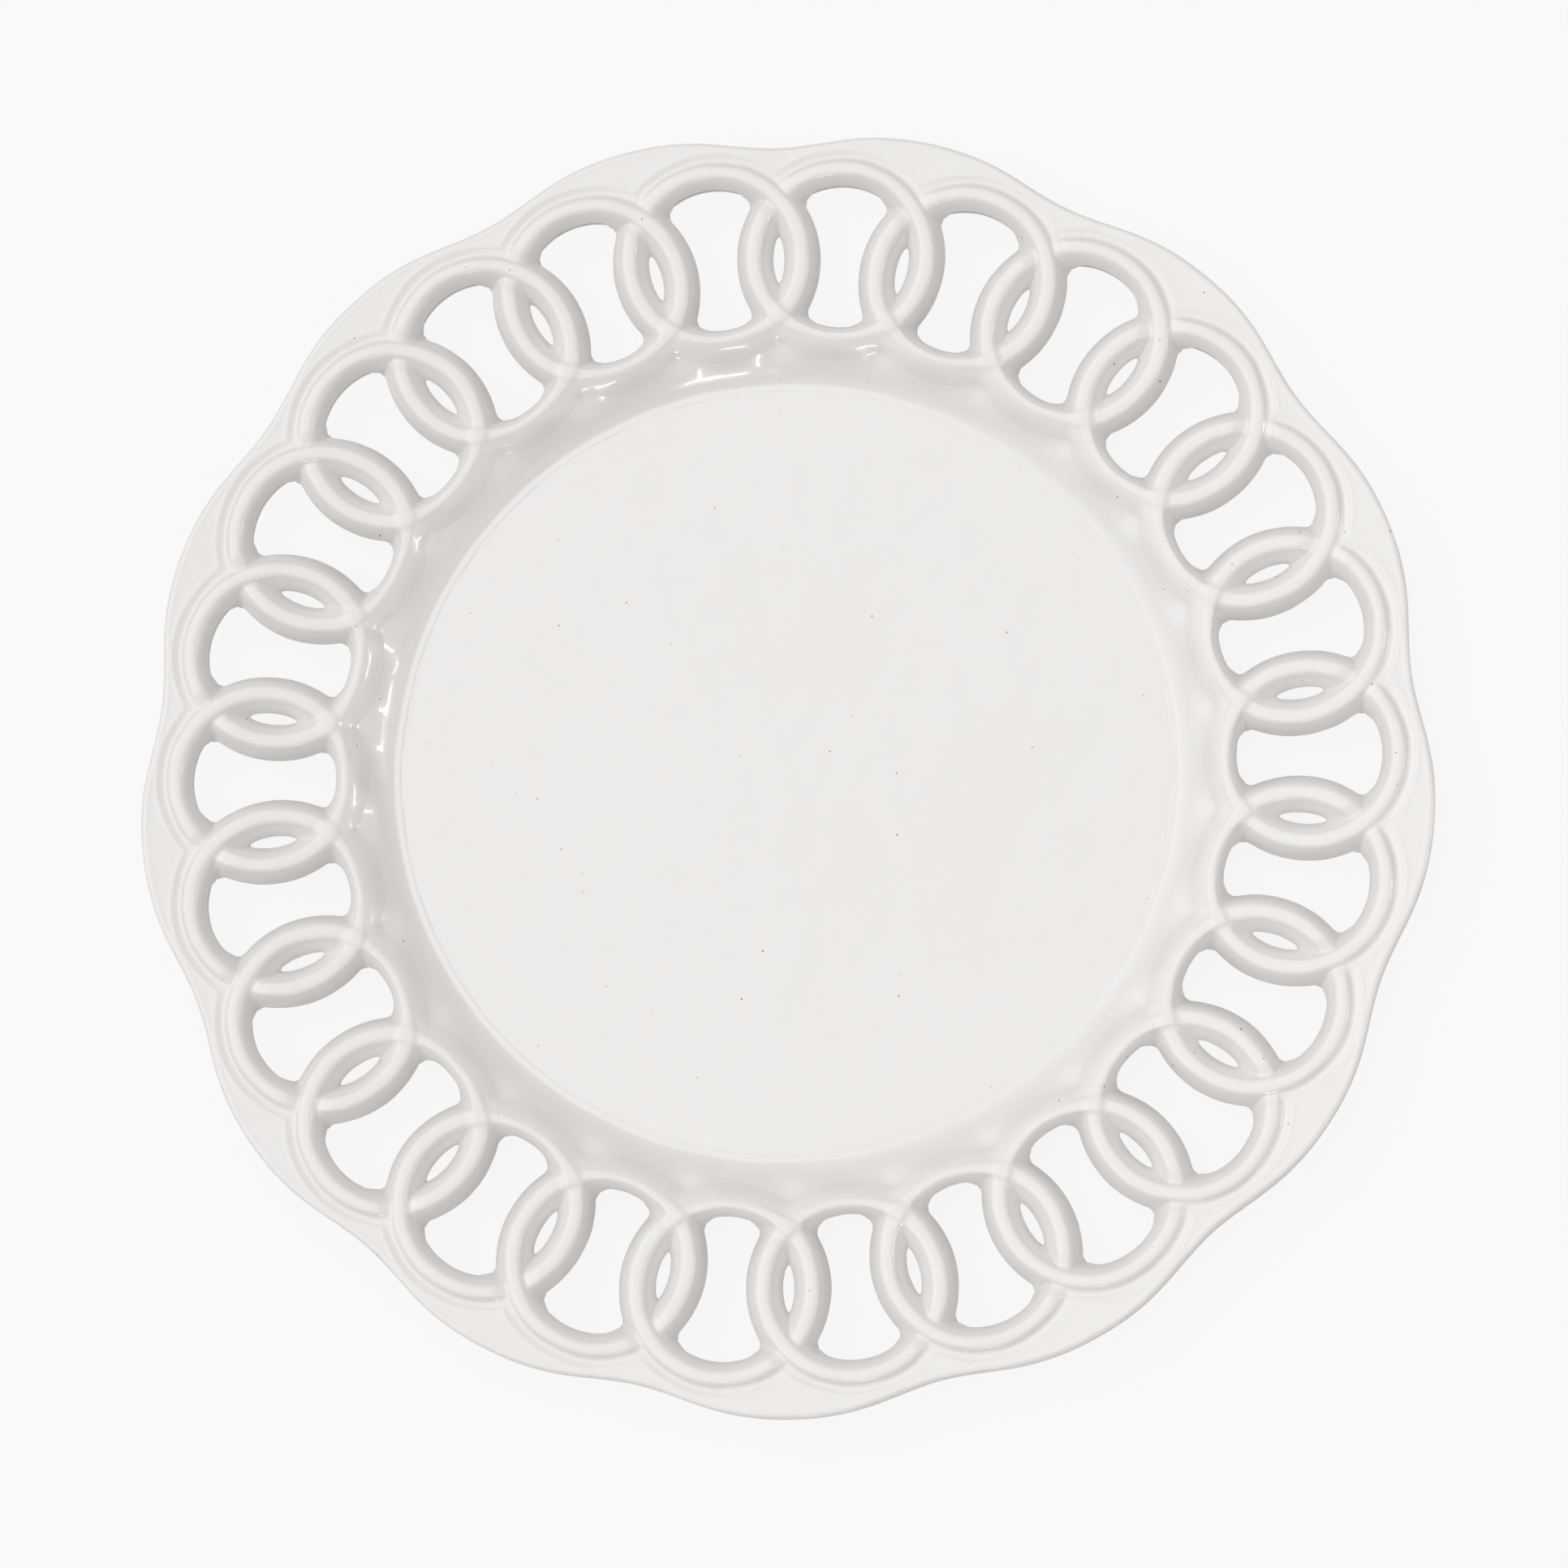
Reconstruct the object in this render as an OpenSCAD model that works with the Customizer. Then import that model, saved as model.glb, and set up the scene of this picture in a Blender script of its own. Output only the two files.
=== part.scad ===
// Dinner-table plate in white glazed earthenware: a flat well, a low cavetto, a wide openwork rim
// of interlaced rings and a narrow scalloped border. +Z is up and the origin is the middle of the
// plate on the surface that it stands on. A notch between two scallops lies on +Y. The rings form
// one endless chain: each one passes over its neighbour at one crossing and under it at the other.

/* [Plate] */
// Radius from the middle to the tip of a scallop
plate_r = 115; // [90:1:140]
// Number of scallops round the edge, with two rings behind each one
scallops = 13; // [10:1:17]
// How much further out the tips of the scallops are than the notches
scallop_depth = 3.2; // [0:0.1:5]
// How much the notches are drawn in compared with a plain wave
notch_nip = 0.22; // [0:0.01:0.4]

/* [Well] */
// Width of the curved wall between the flat floor and the rings
cavetto_w = 5.5; // [4:0.1:12]
// Width of the inner side of the rings that the curve of the wall runs on over, up to its ridge
ridge_w = 4.2; // [2:0.1:6]
// Height that the curve climbs from the floor to the ridge
cavetto_rise = 4.25; // [2:0.05:8]
// Thickness of the floor
floor_t = 4; // [3:0.1:6]

/* [Rim] */
// Width of the strand that each ring is made of
strand_w = 6.5; // [5:0.1:8]
// Thickness of the strand
strand_t = 5; // [4:0.1:7]
// Width of the small gap left between the strands of two neighbouring rings
slit_w = 2; // [1.2:0.1:3]
// Height that the rim gains from the ridge to the outer side of a ring
rim_rise = 2; // [0:0.1:12]
// Width of the border outside the rings, measured to the middle of the scallop wave
border_w = 2.2; // [1.8:0.1:5]
// Step from the top of the rings down to the border
border_drop = 0.8; // [0.2:0.1:2]

/* [Foot] */
// Height of the foot ring
foot_h = 3.5; // [2:0.1:8]
// Width of the foot ring where the plate stands on it
foot_w = 3.5; // [2.5:0.1:6]
// Extra width of the foot ring on each side where it joins the floor
foot_flare = 1; // [0:0.1:2]
// Width of the floor left outside the foot ring
foot_inset = 2; // [1:0.1:10]

/* [Hidden] */
CREAM = "ivory";
WHITE = "white";
ROUND = 128; // facets of the large circles
TIP_STEPS = 14; // points along each scallop
CURVE_STEPS = 8; // straight steps along the cavetto's curve
STEEP_AT = 0.62; // share of the curve's width at which it is steepest
STEEP = 1.537; // slope there, as a multiple of the curve's average slope
START = 0.665; // slope where the curve leaves the floor, as the same kind of multiple
LEVEL = (2 - (START + STEEP) * STEEP_AT) / (1 - STEEP_AT) - STEEP; // slope at the ridge
PAST = 1; // how far a cutting solid runs past what it cuts

rings = 2 * scallops;
ring_angle = 360 / rings;
scallop_angle = 360 / scallops;

// The border follows a wave whose middle radius leaves its tips at plate_r
wave = scallop_depth / 2;
edge_mid_r = plate_r - wave + notch_nip;

// The rings' circle is the one on which neighbouring rings leave slits of slit_w and the outer
// sides of the rings reach the border
ring_reach_r = edge_mid_r - border_w;
circle_r = (ring_reach_r - strand_w - slit_w / 2) / (1 + sin(ring_angle / 2));
ring_gap = 2 * circle_r * sin(ring_angle / 2);
hole_r = (ring_gap + slit_w) / 2;
ring_r = hole_r + strand_w;
crossing_r = circle_r * cos(ring_angle / 2);
ring_inner_r = circle_r - ring_r;

well_r = ring_inner_r - cavetto_w;
ridge_r = ring_inner_r + ridge_w;
ring_outer_r = circle_r + ring_r;
floor_z = foot_h + floor_t;
foot_outer_r = well_r - foot_inset;

function ring_name(k) = str("ring_", k < 10 ? "0" : "", k);

// Height of the rim's cone, which climbs outwards through the tops of the rings
function rim_z(r) = floor_z + cavetto_rise + rim_rise * (r - ridge_r) / (ring_outer_r - ridge_r);

// Radius of the scalloped edge at an angle counted from a notch
function edge_r(a) = edge_mid_r - wave * cos(scallops * a) - notch_nip * cos(2 * scallops * a);

// Share of its rise that the cavetto's curve has climbed at share s of its width. It steepens up
// to STEEP_AT and then levels off to LEVEL, which makes it reach the ridge in full.
function climb(s) = s < STEEP_AT
    ? START * s + (STEEP - START) * s * s / (2 * STEEP_AT)
    : let (left = 1 - s)
      1 - LEVEL * left - (STEEP - LEVEL) * left * left / (2 * (1 - STEEP_AT));

function cavetto_z(r) = floor_z + cavetto_rise * climb((r - well_r) / (ridge_r - well_r));

// Points of the cavetto's curve from one radius up to the ridge
function cavetto_points(from_r) = [for (i = [0 : CURVE_STEPS])
    let (r = from_r + (ridge_r - from_r) * i / CURVE_STEPS) [r, cavetto_z(r)]];

// Body of the openwork, under the cavetto's curve up to the ridge and under the cone beyond it
module openwork_body() {
    inner_r = ring_inner_r - PAST;
    outer_r = ring_outer_r + PAST;
    rotate_extrude($fn = ROUND)
        polygon(concat(cavetto_points(inner_r),
            [[outer_r, rim_z(outer_r)], [outer_r, rim_z(outer_r) - strand_t],
             [inner_r, rim_z(inner_r) - strand_t]]));
}

// Band between the cone lowered by top_drop and the same cone lowered by base_drop
module rim_band(inner_r, outer_r, top_drop, base_drop) {
    rotate_extrude($fn = ROUND)
        polygon([[inner_r, rim_z(inner_r) - base_drop], [outer_r, rim_z(outer_r) - base_drop],
                 [outer_r, rim_z(outer_r) - top_drop], [inner_r, rim_z(inner_r) - top_drop]]);
}

// Upright post on the ring circle, k places round from the first ring
module post(k, r) {
    rotate(90 + (k - 0.5) * ring_angle)
        translate([circle_r, 0, 0])
            cylinder(h = floor_z + cavetto_rise + 2 * rim_rise + PAST, r = r, $fn = ROUND);
}

module ring_outline(k) {
    difference() {
        post(k, ring_r);
        post(k, hole_r);
    }
}

// What a neighbouring ring takes out of a ring where it lies over it or under it. The mating face
// is halfway down the strand, so the two halves close on each other.
module lap(k, outer, over) {
    intersection() {
        ring_outline(k);
        rim_band(outer ? crossing_r : ring_inner_r - PAST,
                 outer ? ring_outer_r + PAST : crossing_r,
                 over ? -PAST : strand_t / 2,
                 over ? strand_t / 2 : strand_t + PAST);
    }
}

module chain_ring(k) {
    color(WHITE)
    difference() {
        intersection() {
            ring_outline(k);
            openwork_body();
        }
        lap(k + 1, outer = true, over = true);
        lap(k + 1, outer = false, over = false);
        lap(k - 1, outer = true, over = false);
        lap(k - 1, outer = false, over = true);
    }
}

module well_floor() {
    color(WHITE)
    translate([0, 0, foot_h])
        cylinder(h = floor_t, r = well_r, $fn = ROUND);
}

module cavetto_wall() {
    color(WHITE)
    difference() {
        rotate_extrude($fn = ROUND)
            polygon(concat(cavetto_points(well_r),
                [[circle_r, rim_z(circle_r)], [circle_r, rim_z(circle_r) - strand_t],
                 [ring_inner_r, rim_z(ring_inner_r) - strand_t], [well_r, foot_h]]));
        for (k = [1 : rings]) post(k, ring_r);
    }
}

module rim_border() {
    color(WHITE)
    difference() {
        intersection() {
            linear_extrude(height = floor_z + cavetto_rise + 2 * rim_rise)
                polygon([for (i = [0 : TIP_STEPS * scallops - 1])
                    let (a = i * scallop_angle / TIP_STEPS)
                    edge_r(a) * [cos(90 + a), sin(90 + a)]]);
            rim_band(circle_r, plate_r + PAST, border_drop, strand_t);
        }
        for (k = [1 : rings]) post(k, ring_r);
    }
}

module foot_ring() {
    color(CREAM)
    rotate_extrude($fn = ROUND)
        polygon([[foot_outer_r - foot_flare - foot_w, 0], [foot_outer_r - foot_flare, 0],
                 [foot_outer_r, foot_h], [foot_outer_r - 2 * foot_flare - foot_w, foot_h]]);
}

well_floor();
cavetto_wall();
foot_ring();
rim_border();
for (k = [1 : rings])
    chain_ring(k);
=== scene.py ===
"""Dinner plate in white glazed earthenware with an openwork rim of interlaced rings.

The glazed top of the whole plate is one height rule. Every piece samples that rule over its own
footprint, so the strands, the border and the well run into each other without a seam.
"""

from __future__ import annotations

import logging
import math
from dataclasses import dataclass
from enum import Enum

import bpy
from mathutils import Matrix, Vector

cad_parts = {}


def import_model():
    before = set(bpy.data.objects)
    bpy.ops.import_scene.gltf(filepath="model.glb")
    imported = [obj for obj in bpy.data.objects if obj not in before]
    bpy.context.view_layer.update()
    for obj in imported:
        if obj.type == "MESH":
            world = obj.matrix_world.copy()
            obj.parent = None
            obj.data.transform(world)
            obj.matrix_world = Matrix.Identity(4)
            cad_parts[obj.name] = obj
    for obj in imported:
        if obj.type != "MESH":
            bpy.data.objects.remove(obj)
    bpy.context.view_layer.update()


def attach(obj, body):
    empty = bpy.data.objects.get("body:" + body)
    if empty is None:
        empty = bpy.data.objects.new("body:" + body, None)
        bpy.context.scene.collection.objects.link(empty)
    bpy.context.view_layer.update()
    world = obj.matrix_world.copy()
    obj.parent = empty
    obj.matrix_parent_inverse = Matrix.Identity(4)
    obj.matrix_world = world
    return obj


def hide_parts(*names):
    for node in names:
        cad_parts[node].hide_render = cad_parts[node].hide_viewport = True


LOG = logging.getLogger("openwork_plate")

MM = 0.001
TURN = 2.0 * math.pi
MERGE_DISTANCE = 1e-6


class Slot(Enum):
    """Names of the material slots of the record, handed to settle with each piece, which does not
    use them.
    """

    GLAZE = "white_glaze"
    CLAY = "foot_clay"


class Attr(Enum):
    """Named attributes that the surface trees leave on the meshes for the materials, which paint
    shade from them.
    """

    # Depth of the filled creases and of the border channel: the glaze shows it warmer, partly as
    # real glaze pooling and partly as painted shade in the creases.
    POOL = "glaze_pool_and_crease_shade"
    # Depth down the walls and on the undersides: the glaze shows it as painted shade, warmer and
    # darker further down.
    DEPTH = "wall_shade_depth"


@dataclass(frozen=True)
class PlateSizes:
    """Sizes of the plate in metres, the same ones that the solid model is driven by."""

    plate_r: float = 115.0 * MM
    scallops: int = 13
    scallop_depth: float = 3.2 * MM
    notch_nip: float = 0.22 * MM
    cavetto_w: float = 5.5 * MM
    ridge_w: float = 4.2 * MM
    cavetto_rise: float = 4.25 * MM
    floor_t: float = 4.0 * MM
    strand_w: float = 6.5 * MM
    strand_t: float = 5.0 * MM
    slit_w: float = 2.0 * MM
    rim_rise: float = 2.0 * MM
    border_w: float = 2.2 * MM
    border_drop: float = 0.8 * MM
    foot_h: float = 3.5 * MM
    foot_w: float = 3.5 * MM
    foot_flare: float = 1.0 * MM
    foot_inset: float = 2.0 * MM

    @property
    def rings(self) -> int:
        """Number of rings in the chain."""
        return 2 * self.scallops

    @property
    def ring_angle(self) -> float:
        """Angle from one ring to the next, in radians."""
        return TURN / self.rings

    @property
    def wave(self) -> float:
        """Half the depth of the scallops."""
        return self.scallop_depth / 2

    @property
    def edge_mid_r(self) -> float:
        """Middle radius of the scalloped edge."""
        return self.plate_r - self.wave + self.notch_nip

    @property
    def circle_r(self) -> float:
        """Radius of the circle that the ring centres lie on."""
        reach = self.edge_mid_r - self.border_w
        return (reach - self.strand_w - self.slit_w / 2) / (1 + math.sin(self.ring_angle / 2))

    @property
    def hole_r(self) -> float:
        """Inner radius of a ring."""
        return self.circle_r * math.sin(self.ring_angle / 2) + self.slit_w / 2

    @property
    def ring_r(self) -> float:
        """Outer radius of a ring."""
        return self.hole_r + self.strand_w

    @property
    def crossing_r(self) -> float:
        """Radius at which the small openings between two crossings lie."""
        return self.circle_r * math.cos(self.ring_angle / 2)

    @property
    def half_gap(self) -> float:
        """Half the distance between neighbouring ring centres."""
        return self.circle_r * math.sin(self.ring_angle / 2)

    @property
    def ring_inner_r(self) -> float:
        """Smallest radius that a ring reaches."""
        return self.circle_r - self.ring_r

    @property
    def well_r(self) -> float:
        """Radius of the flat floor."""
        return self.ring_inner_r - self.cavetto_w

    @property
    def floor_z(self) -> float:
        """Height of the floor's top."""
        return self.foot_h + self.floor_t

    @property
    def rim_slope(self) -> float:
        """Climb of the rim's cone for each unit of radius."""
        return self.rim_rise / (self.circle_r + self.ring_r - self.ridge_r)

    @property
    def ridge_r(self) -> float:
        """Radius of the ridge at which the cavetto's curve ends."""
        return self.ring_inner_r + self.ridge_w

    @property
    def foot_outer_r(self) -> float:
        """Outer radius of the foot ring where it meets the floor."""
        return self.well_r - self.foot_inset


class Num:
    """A number in a node tree, on which sums are written as in plain code."""

    def __init__(self, tree: bpy.types.NodeTree, socket: bpy.types.NodeSocket) -> None:
        """Wraps a socket.

        Args:
            tree: The tree that the socket lies in.
            socket: The output socket that carries the number.
        """
        self.tree = tree
        self.socket = socket

    def op(self, kind: str, *others: "Num | float", clamp: bool = False) -> "Num":
        """Adds a Math node that works on this number.

        Args:
            kind: The Math node's operation.
            others: Its further inputs.
            clamp: Whether the result is held between 0 and 1.

        Returns:
            The result as a number.
        """
        node = self.tree.nodes.new("ShaderNodeMath")
        node.operation = kind
        node.use_clamp = clamp
        self.tree.links.new(self.socket, node.inputs[0])
        for place, other in enumerate(others, start=1):
            if isinstance(other, Num):
                self.tree.links.new(other.socket, node.inputs[place])
            else:
                node.inputs[place].default_value = other
        return Num(self.tree, node.outputs[0])

    def __add__(self, other: "Num | float") -> "Num":
        """Sum."""
        return self.op("ADD", other)

    def __radd__(self, other: float) -> "Num":
        """Sum with a plain number on the left."""
        return self.op("ADD", other)

    def __sub__(self, other: "Num | float") -> "Num":
        """Difference."""
        return self.op("SUBTRACT", other)

    def __rsub__(self, other: float) -> "Num":
        """Difference with a plain number on the left."""
        return self.op("MULTIPLY_ADD", -1.0, other)

    def __mul__(self, other: "Num | float") -> "Num":
        """Product."""
        return self.op("MULTIPLY", other)

    def __rmul__(self, other: float) -> "Num":
        """Product with a plain number on the left."""
        return self.op("MULTIPLY", other)

    def __truediv__(self, other: "Num | float") -> "Num":
        """Quotient."""
        return self.op("DIVIDE", other)

    def __neg__(self) -> "Num":
        """Negative."""
        return self.op("MULTIPLY", -1.0)

    def ramp(self, low: float, high: float) -> "Num":
        """Smooth step from 0 at low to 1 at high, or the other way round if low is the larger.

        Args:
            low: Value at which the step is 0.
            high: Value at which the step is 1.

        Returns:
            The step's value.
        """
        share = self.op("MULTIPLY_ADD", 1.0 / (high - low), -low / (high - low), clamp=True)
        return share * share * (3.0 - 2.0 * share)

    def bump(self, centre: float, width: float) -> "Num":
        """Bell of height 1 round a centre.

        Args:
            centre: Value at which the bell is highest.
            width: Distance from the centre at which it has sunk to about a third.

        Returns:
            The bell's value.
        """
        away = (self - centre) / width
        return (-(away * away)).op("EXPONENT")

    def soft_max(self, other: "Num | float", blend: float) -> "Num":
        """Larger of two numbers with the crease between them filled."""
        return self.op("SMOOTH_MAX", other, blend)

    def soft_min(self, other: "Num | float", blend: float) -> "Num":
        """Smaller of two numbers with the edge between them rounded."""
        return self.op("SMOOTH_MIN", other, blend)

    def hard_max(self, other: "Num | float") -> "Num":
        """Larger of two numbers."""
        return self.op("MAXIMUM", other)

    def hard_min(self, other: "Num | float") -> "Num":
        """Smaller of two numbers."""
        return self.op("MINIMUM", other)

    def sqrt(self) -> "Num":
        """Square root."""
        return self.op("SQRT")

    def sin(self) -> "Num":
        """Sine of an angle in radians."""
        return self.op("SINE")

    def cos(self) -> "Num":
        """Cosine of an angle in radians."""
        return self.op("COSINE")

    def mix(self, low: "Num | float", high: "Num | float") -> "Num":
        """Value between low and high at this share.

        Args:
            low: Value at share 0.
            high: Value at share 1.

        Returns:
            The value between them.
        """
        return low + self * (high - low)


class TreeMaker:
    """Writes one node tree: its named inputs and outputs and the nodes between them."""

    def __init__(self, name: str, kind: str = "GeometryNodeTree") -> None:
        """Starts an empty tree.

        Args:
            name: The tree's name.
            kind: The tree's type.
        """
        self.tree = bpy.data.node_groups.new(name, kind)
        self._input: bpy.types.Node | None = None
        self._output: bpy.types.Node | None = None

    def takes(self, name: str, value: float | None = None, kind: str = "NodeSocketFloat") -> Num:
        """Adds a named input.

        Args:
            name: Name of the input.
            value: Its default value.
            kind: Its socket type.

        Returns:
            The input as a number or other field.
        """
        socket = self.tree.interface.new_socket(name, in_out="INPUT", socket_type=kind)
        if value is not None:
            socket.default_value = value
        if self._input is None:
            self._input = self.tree.nodes.new("NodeGroupInput")
        return Num(self.tree, self._input.outputs[name])

    def gives(self, name: str, value: Num, kind: str = "NodeSocketFloat") -> None:
        """Adds a named output.

        Args:
            name: Name of the output.
            value: What it puts out.
            kind: Its socket type.
        """
        self.tree.interface.new_socket(name, in_out="OUTPUT", socket_type=kind)
        if self._output is None:
            self._output = self.tree.nodes.new("NodeGroupOutput")
        self.tree.links.new(value.socket, self._output.inputs[name])

    def node(self, kind: str, **settings: object) -> bpy.types.Node:
        """Adds a node and sets its properties.

        Args:
            kind: The node's type.
            settings: Properties to set on it.

        Returns:
            The new node.
        """
        made = self.tree.nodes.new(kind)
        for key, value in settings.items():
            setattr(made, key, value)
        return made

    def link(self, source: "Num | bpy.types.NodeSocket", target: bpy.types.NodeSocket) -> None:
        """Joins an output to an input."""
        self.tree.links.new(source.socket if isinstance(source, Num) else source, target)

    def parts(self, vector: "Num | bpy.types.NodeSocket") -> tuple[Num, Num, Num]:
        """Splits a vector into its three numbers."""
        node = self.node("ShaderNodeSeparateXYZ")
        self.link(vector, node.inputs[0])
        return tuple(Num(self.tree, out) for out in node.outputs)

    def vector(self, x: "Num | float", y: "Num | float", z: "Num | float") -> Num:
        """Joins three numbers into a vector."""
        node = self.node("ShaderNodeCombineXYZ")
        for place, part in enumerate((x, y, z)):
            if isinstance(part, Num):
                self.link(part, node.inputs[place])
            else:
                node.inputs[place].default_value = part
        return Num(self.tree, node.outputs[0])

    def noise(self, place: Num, seed: "Num | float", grain: float, detail: float = 1.0) -> Num:
        """Smooth random field about 0, reaching to about half a unit on each side.

        Args:
            place: Point at which it is read.
            seed: Number that picks the pattern.
            grain: Size of its features in metres.
            detail: Number of finer layers added.

        Returns:
            The field's value.
        """
        node = self.node("ShaderNodeTexNoise", noise_dimensions="4D")
        self.link(place, node.inputs["Vector"])
        if isinstance(seed, Num):
            self.link(seed, node.inputs["W"])
        else:
            node.inputs["W"].default_value = seed
        node.inputs["Scale"].default_value = 1.0 / grain
        node.inputs["Detail"].default_value = detail
        return Num(self.tree, node.outputs["Fac"]) - 0.5

    def curve(self, share: Num, points: tuple[tuple[float, float], ...]) -> Num:
        """Straight-sided curve through points.

        Args:
            share: Place along the curve, from 0 to 1.
            points: Corners of the curve.

        Returns:
            The curve's height.
        """
        node = self.node("ShaderNodeFloatCurve")
        line = node.mapping.curves[0]
        line.points[0].location = points[0]
        line.points[1].location = points[-1]
        for spot in points[1:-1]:
            line.points.new(*spot)
        for spot in line.points:
            spot.handle_type = "VECTOR"
        node.mapping.update()
        self.link(share, node.inputs["Value"])
        return Num(self.tree, node.outputs[0])

    def group(self, tree: bpy.types.NodeTree, **values: "Num | float") -> bpy.types.Node:
        """Places another tree as a group node.

        Args:
            tree: The tree to place.
            values: Its inputs by name, with underscores for spaces.

        Returns:
            The group node.
        """
        prefix = "GeometryNode" if self.tree.bl_idname == "GeometryNodeTree" else "ShaderNode"
        node = self.node(prefix + "Group", node_tree=tree)
        for key, value in values.items():
            target = node.inputs[key.replace("_", " ")]
            if isinstance(value, Num):
                self.link(value, target)
            else:
                target.default_value = value
        return node


@dataclass(frozen=True)
class GlazeSurface:
    """Rule for the height of the glazed top at any point of the plate.

    Round the middle of a ring's strand lies a flat band with a shoulder on each side, beyond which
    a flank falls to the strand's edge. At a crossing the lower strand dips and butts against the
    flank of the upper one.
    """

    sizes: PlateSizes
    lens_shoulder: float = 0.95 * MM
    arc_shoulder: float = 0.6 * MM
    inner_shoulder: float = 1.55 * MM
    inner_band: float = 1.2 * MM
    outer_shoulder: float = 1.15 * MM
    flank_fall: float = 2.3 * MM
    flank_bend: float = 0.5
    shoulder_round: float = 0.55 * MM
    crown: float = 0.045 / MM
    dip: float = 0.5 * MM
    dip_reach: float = 4.5 * MM
    crossing_fill: float = 0.65 * MM
    inner_dip_share: float = 0.1
    inner_fill: float = 1.9 * MM
    border_fill: float = 0.7 * MM
    cavetto_fill: float = 0.7 * MM
    flute_blend: float = 3.0 * MM
    channel_depth: float = 0.16 * MM
    border_step: float = 0.52 * MM
    channel_place: float = 2.35 * MM
    channel_width: float = 0.8 * MM
    bead_place: float = 3.7 * MM
    bead_width: float = 0.45 * MM
    bead_height: float = 0.05 * MM
    ridge_offset: float = 1.3 * MM
    line_height: float = 0.09 * MM
    line_width: float = 1.1 * MM
    climb_start: float = 0.665
    climb_steep: float = 1.537
    climb_level: float = 0.138
    steep_at: float = 0.62
    edge_round: float = 0.7 * MM
    lip_height: float = 0.03 * MM
    lip_place: float = 1.0 * MM
    lip_width: float = 0.35 * MM
    border_start: float = 1.0 * MM
    floor_fill: float = 0.12 * MM
    line_edge: float = 0.3 * MM
    flute_share: float = 0.75
    dip_flat: float = 0.8 * MM
    hand_drift: float = 0.22 * MM
    drift_grain: float = 9 * MM
    shoulder_wander: float = 0.5 * MM
    shoulder_grain: float = 14 * MM
    sag: float = 0.25 * MM
    sag_grain: float = 60 * MM
    glaze_wave: float = 0.05 * MM
    wave_grain: float = 7 * MM
    pool_depth: float = 0.12 * MM
    channel_pool: float = 0.4
    cut_slope: float = 4.0
    cut_depth: float = 20 * MM
    seed: float = 3.7

    def build(self) -> bpy.types.NodeTree:
        """Writes the rule as a node group.

        Returns:
            A group that takes Position, Crossing Dip and Channel Depth, and puts out Height, Pool,
            the distances from the middles of the two nearest strands, the distance outwards from
            the crossing and the height of the rim's cone.
        """
        size = self.sizes
        make = TreeMaker("glazed_top")
        place = make.takes("Position", kind="NodeSocketVector")
        dip_input = make.takes("Crossing Dip", self.dip)
        channel_input = make.takes("Channel Depth", self.channel_depth)
        raw_x, raw_y, _ = make.parts(place)

        drift_a = make.noise(place, self.seed, self.drift_grain) * (2 * self.hand_drift)
        drift_b = make.noise(place, self.seed + 5.0, self.drift_grain) * (2 * self.hand_drift)
        x, y = raw_x + drift_a, raw_y + drift_b

        radius = (x * x + y * y).sqrt()
        turn = (-x).op("ARCTAN2", y)
        sector = (turn / size.ring_angle).op("ROUND")
        angle = turn - sector * size.ring_angle
        across, along = radius * angle.sin(), radius * angle.cos()
        out = along - size.crossing_r

        def ring_distance(side: float) -> Num:
            """Distance from the centre of the ring on one side of the crossing line."""
            shift = across - side * size.half_gap
            return (shift * shift + out * out).sqrt()

        rho_a, rho_b = ring_distance(-1.0), ring_distance(1.0)
        middle = size.hole_r + size.strand_w / 2
        off_a, off_b = rho_a - middle, rho_b - middle
        cone = (radius - size.ridge_r) * size.rim_slope + (size.floor_z + size.cavetto_rise)

        outside = out.ramp(-1.5 * MM, 1.5 * MM)
        arc = out.op("ABSOLUTE").ramp(8 * MM, 14 * MM)
        arc_hole = outside.mix(self.inner_shoulder, self.arc_shoulder)
        hole_shoulder = arc.mix(self.lens_shoulder, arc_hole)
        far_shoulder = out.ramp(-10.5 * MM, -15.5 * MM).mix(
            self.outer_shoulder, self.inner_band - self.inner_shoulder
        )
        band_width = make.noise(place, self.seed + 9.0, self.shoulder_grain) * self.shoulder_wander

        def roof(off: Num, lowered: Num) -> Num:
            """Height of one strand's top, with its dip taken off."""
            half = size.strand_w / 2
            hole_side = (-off - hole_shoulder + band_width).soft_max(0.0, self.shoulder_round)
            far_side = (off - far_shoulder + band_width).soft_max(0.0, self.shoulder_round)
            hole_share = hole_side / (half - hole_shoulder)
            far_share = far_side / (half - far_shoulder)
            start, bend = 1.0 - self.flank_bend, self.flank_bend
            fall = hole_share * (start + hole_share * bend) + far_share * (start + far_share * bend)
            crown = off * off * self.crown
            return cone - fall * self.flank_fall - crown - lowered

        def dips(other: Num, side: Num) -> Num:
            """Dip of a strand next to the middle of the one that passes over it."""
            near = other.op("ABSOLUTE").ramp(self.dip_reach, self.dip_flat)
            return near * side * dip_input * outside.mix(self.inner_dip_share, 1.0)

        roof_a = roof(off_a, dips(off_b, outside))
        roof_b = roof(off_b, dips(off_a, 1.0 - outside))
        fill = out.ramp(-5.0 * MM, 0.0).mix(self.inner_fill, self.crossing_fill)
        strands = roof_a.soft_max(roof_b, fill)
        sharp = roof_a.hard_max(roof_b)

        nearest = off_a.hard_min(off_b)
        clear = (self.border_start - nearest).hard_max(0.0) * self.cut_slope
        edge = self._edge_distance(radius, turn, size)
        channel = off_a.bump(self.channel_place, self.channel_width).hard_max(
            off_b.bump(self.channel_place, self.channel_width)
        )
        fade = out.ramp(12.5 * MM, 17.0 * MM)
        channel = channel * fade
        rounding = (self.edge_round - edge).hard_max(0.0)
        rounding = rounding * rounding * (0.5 / self.edge_round)
        lip = edge.bump(self.lip_place, self.lip_width) * self.lip_height
        bead = nearest.bump(self.bead_place, self.bead_width) * fade * self.bead_height
        border = cone - self.border_step - channel * channel_input - rounding + lip + bead
        border = border - clear - (1.0 - outside) * self.cut_depth

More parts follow.
